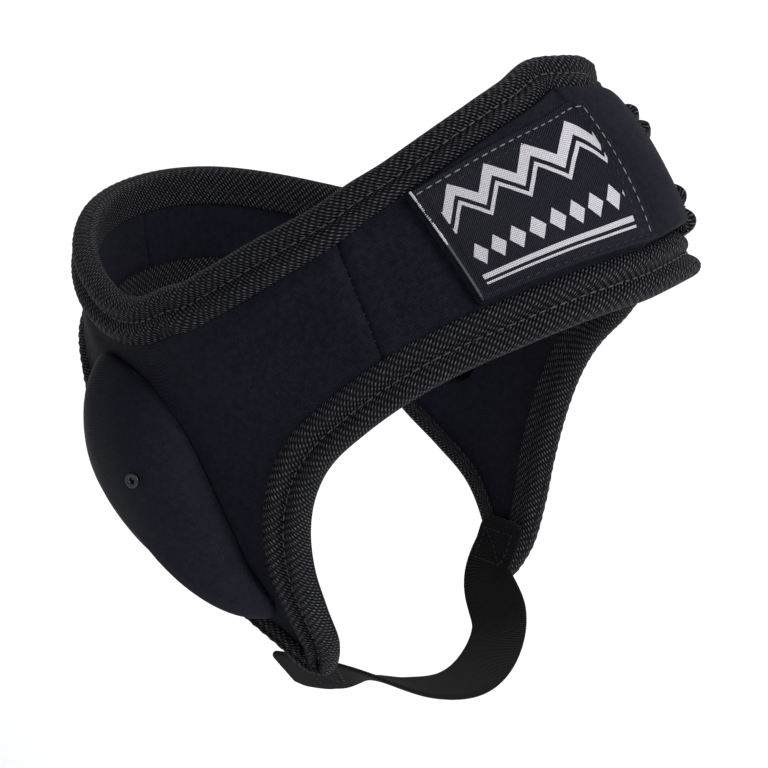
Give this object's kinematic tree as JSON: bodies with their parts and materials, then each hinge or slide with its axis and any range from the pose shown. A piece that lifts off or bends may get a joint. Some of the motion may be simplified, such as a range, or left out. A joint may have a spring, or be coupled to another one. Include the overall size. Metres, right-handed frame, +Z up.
{
  "type": "wrestling ear guard",
  "caption": "Soft neoprene ear guard that wraps the head, with domed ear cups, taped edges, an overlapping front closure and a chin strap.",
  "frame": {"origin": "middle of the head that wears it, level with the ear canals", "axes": "+Z up, -Y towards the forehead, -X towards the wearer's right ear"},
  "size_m": [0.1814, 0.1976, 0.2135],
  "materials": {
    "neoprene": "soft knit-faced neoprene",
    "tape": "ribbed woven edge tape",
    "cup": "smooth moulded foam with a knit face",
    "label": "satin twill",
    "webbing": "hook and loop strap",
    "eyelet": "dull black"
  },
  "bodies": {
    "root": {"side_panel_right": "neoprene", "side_panel_left": "neoprene", "front_panel": "neoprene", "closing_band": "neoprene", "upper_binding": "tape", "lower_binding": "tape", "ear_cup_right": "cup", "ear_cup_left": "cup", "ear_eyelet_right": "eyelet", "ear_eyelet_left": "eyelet", "front_strap": "neoprene", "label_patch": "label", "chin_strap": "webbing"}
  },
  "joints": []
}
